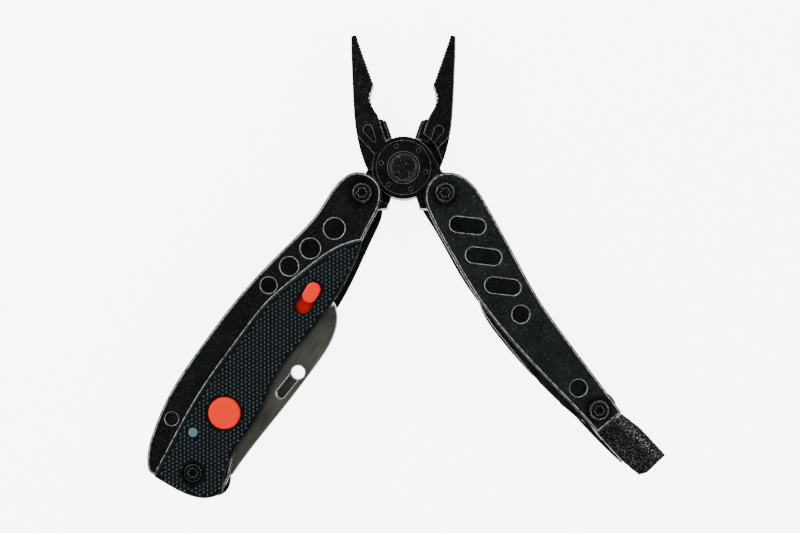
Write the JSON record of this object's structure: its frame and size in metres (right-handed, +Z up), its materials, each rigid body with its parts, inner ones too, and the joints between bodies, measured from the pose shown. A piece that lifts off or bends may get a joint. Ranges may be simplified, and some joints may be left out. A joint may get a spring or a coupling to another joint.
{
  "type": "multi tool",
  "caption": "Folding multi tool: pliers between two handles, with a knife, saw, flat driver, file, opener, push-button torch and a striking block.",
  "frame": {"origin": "under the middle of the tool, on the surface it lies on", "axes": "+Y towards the jaw tips, +X towards the handle with the striking block, +Z up out of the front plates"},
  "size_m": [0.1539, 0.1398, 0.0181],
  "materials": {
    "blackened_steel": "stonewashed black oxide with worn edges",
    "hard_steel": "blackened, ground edge",
    "screw_steel": "black oxide",
    "bronze_washer": "dull",
    "blade_steel": "satin grey",
    "spring_steel": "satin",
    "grip_plastic": "fine diamond knurl, matte",
    "orange_plastic": "matte red-orange",
    "torch_black": "matte",
    "cell_can": "bright nickel",
    "board": "green solder resist",
    "led": "clear dome on a white base",
    "lens": "pale blue, glossy",
    "cast_striker": "coarse cast skin, black"
  },
  "bodies": {
    "pliers_front": {"front_jaw": "blackened_steel", "front_cutter": "hard_steel", "pivot_bolt": "blackened_steel", "pivot_nut": "blackened_steel", "pivot_front_ring": "blackened_steel"},
    "pliers_rear": {"rear_jaw": "blackened_steel", "rear_cutter": "hard_steel", "pivot_rear_ring": "blackened_steel"},
    "left_handle": {"left_tang_screw": "screw_steel", "left_tang_nut": "screw_steel", "left_tang_washers": "bronze_washer", "left_end_screw": "screw_steel", "left_end_nut": "screw_steel", "left_front_plate": "blackened_steel", "left_back_plate": "blackened_steel", "left_frame_pin": "blackened_steel", "left_grip": "grip_plastic", "torch_cover": "torch_black", "coin_cell": "cell_can", "torch_board": "board", "torch_switch": "torch_black", "torch_led": "led", "torch_lens": "lens", "left_back_liner": "spring_steel", "left_front_liner": "spring_steel", "left_end_spacer": "grip_plastic"},
    "right_handle": {"right_tang_screw": "screw_steel", "right_tang_nut": "screw_steel", "right_tang_washers": "bronze_washer", "right_end_screw": "screw_steel", "right_end_nut": "screw_steel", "right_front_plate": "blackened_steel", "right_back_plate": "blackened_steel", "striker_block": "cast_striker"},
    "catch": {"slide_catch": "orange_plastic"},
    "torch_key": {"torch_button": "orange_plastic"},
    "knife": {"knife_blade": "blade_steel"},
    "saw": {"saw_blade": "blade_steel"},
    "driver": {"flat_driver": "blade_steel"},
    "file": {"wood_file": "blade_steel"},
    "opener": {"bottle_opener": "blade_steel"}
  },
  "joints": [
    {"name": "jaw_pivot", "type": "hinge", "parent": "pliers_front", "child": "pliers_rear", "pos_m": [-0.00142, 0.02983, 0.008], "axis": [0, 0, -1], "range_deg": [-38.6, 8]},
    {"name": "left_handle_fold", "type": "hinge", "parent": "pliers_rear", "child": "left_handle", "pos_m": [-0.01362, 0.02218, 0.008], "axis": [0, 0, 1], "range_deg": [-160.5, 0]},
    {"name": "right_handle_fold", "type": "hinge", "parent": "pliers_front", "child": "right_handle", "pos_m": [0.01078, 0.02218, 0.008], "axis": [0, 0, -1], "range_deg": [-163.5, 0]},
    {"name": "knife_swing", "type": "hinge", "parent": "left_handle", "child": "knife", "pos_m": [-0.06326, -0.0601, 0.008], "axis": [0, 0, -1], "range_deg": [0, 180]},
    {"name": "saw_swing", "type": "hinge", "parent": "left_handle", "child": "saw", "pos_m": [-0.06326, -0.0601, 0.008], "axis": [0, 0, -1], "range_deg": [0, 180]},
    {"name": "driver_swing", "type": "hinge", "parent": "right_handle", "child": "driver", "pos_m": [0.05603, -0.04172, 0.008], "axis": [0, 0, 1], "range_deg": [0, 180]},
    {"name": "file_swing", "type": "hinge", "parent": "right_handle", "child": "file", "pos_m": [0.05603, -0.04172, 0.008], "axis": [0, 0, 1], "range_deg": [0, 180]},
    {"name": "opener_swing", "type": "hinge", "parent": "right_handle", "child": "opener", "pos_m": [0.05603, -0.04172, 0.008], "axis": [0, 0, 1], "range_deg": [0, 180]},
    {"name": "catch_slide", "type": "slide", "parent": "left_handle", "child": "catch", "axis": [-0.5165, -0.8563, 0], "range_m": [0, 0.0035]},
    {"name": "torch_press", "type": "slide", "parent": "left_handle", "child": "torch_key", "axis": [0, 0, -1], "range_m": [0, 0.0005], "stiffness_N_per_m": 400, "springref_m": -0.0003}
  ]
}
